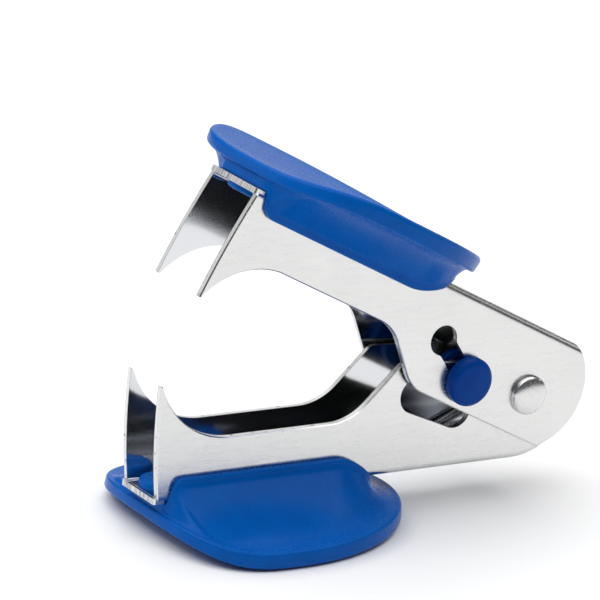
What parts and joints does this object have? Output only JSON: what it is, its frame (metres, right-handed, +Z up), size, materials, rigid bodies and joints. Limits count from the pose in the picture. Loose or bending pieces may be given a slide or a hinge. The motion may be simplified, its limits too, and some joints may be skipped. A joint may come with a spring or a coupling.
{
  "type": "staple remover",
  "caption": "Claw staple remover: two sprung steel jaws on a pivot rivet, dished finger grips and a slide lock that holds it shut.",
  "frame": {"origin": "on the surface it rests on, under the middle of its bounding box", "axes": "+X along the lower jaw from the claws to the pivot, +Z up, Y across the jaws with the slide lock at -Y"},
  "size_m": [0.0644, 0.0338, 0.0481],
  "materials": {
    "steel": "satin nickel-chrome plate with fine rolling grain",
    "rivet": "bright plated",
    "spring": "bright drawn wire",
    "grip": "satin moulded",
    "button": "satin moulded"
  },
  "bodies": {
    "lower": {"lower_jaw": "steel", "lower_grip": "grip", "pivot_rivet": "rivet", "torsion_spring": "spring"},
    "upper": {"upper_jaw": "steel", "upper_grip": "grip"},
    "lock": {"lock_button": "button", "lock_pin": "button"}
  },
  "joints": [
    {"name": "jaw_hinge", "type": "hinge", "parent": "lower", "child": "upper", "pos_m": [0.0229, 0, 0.0143], "axis": [0, -1, 0], "range_deg": [0, 25.8], "stiffness_Nm_per_rad": 0.35, "springref_deg": -20.05, "deforming": ["torsion_spring"]},
    {"name": "lock_slide", "type": "slide", "parent": "upper", "child": "lock", "axis": [-0.596, 0, 0.803], "range_m": [0, 0.00705]}
  ],
  "couplings": [
    {"joint": "lock_slide", "follows": "jaw_hinge", "m_per_rad": 0.015665}
  ]
}
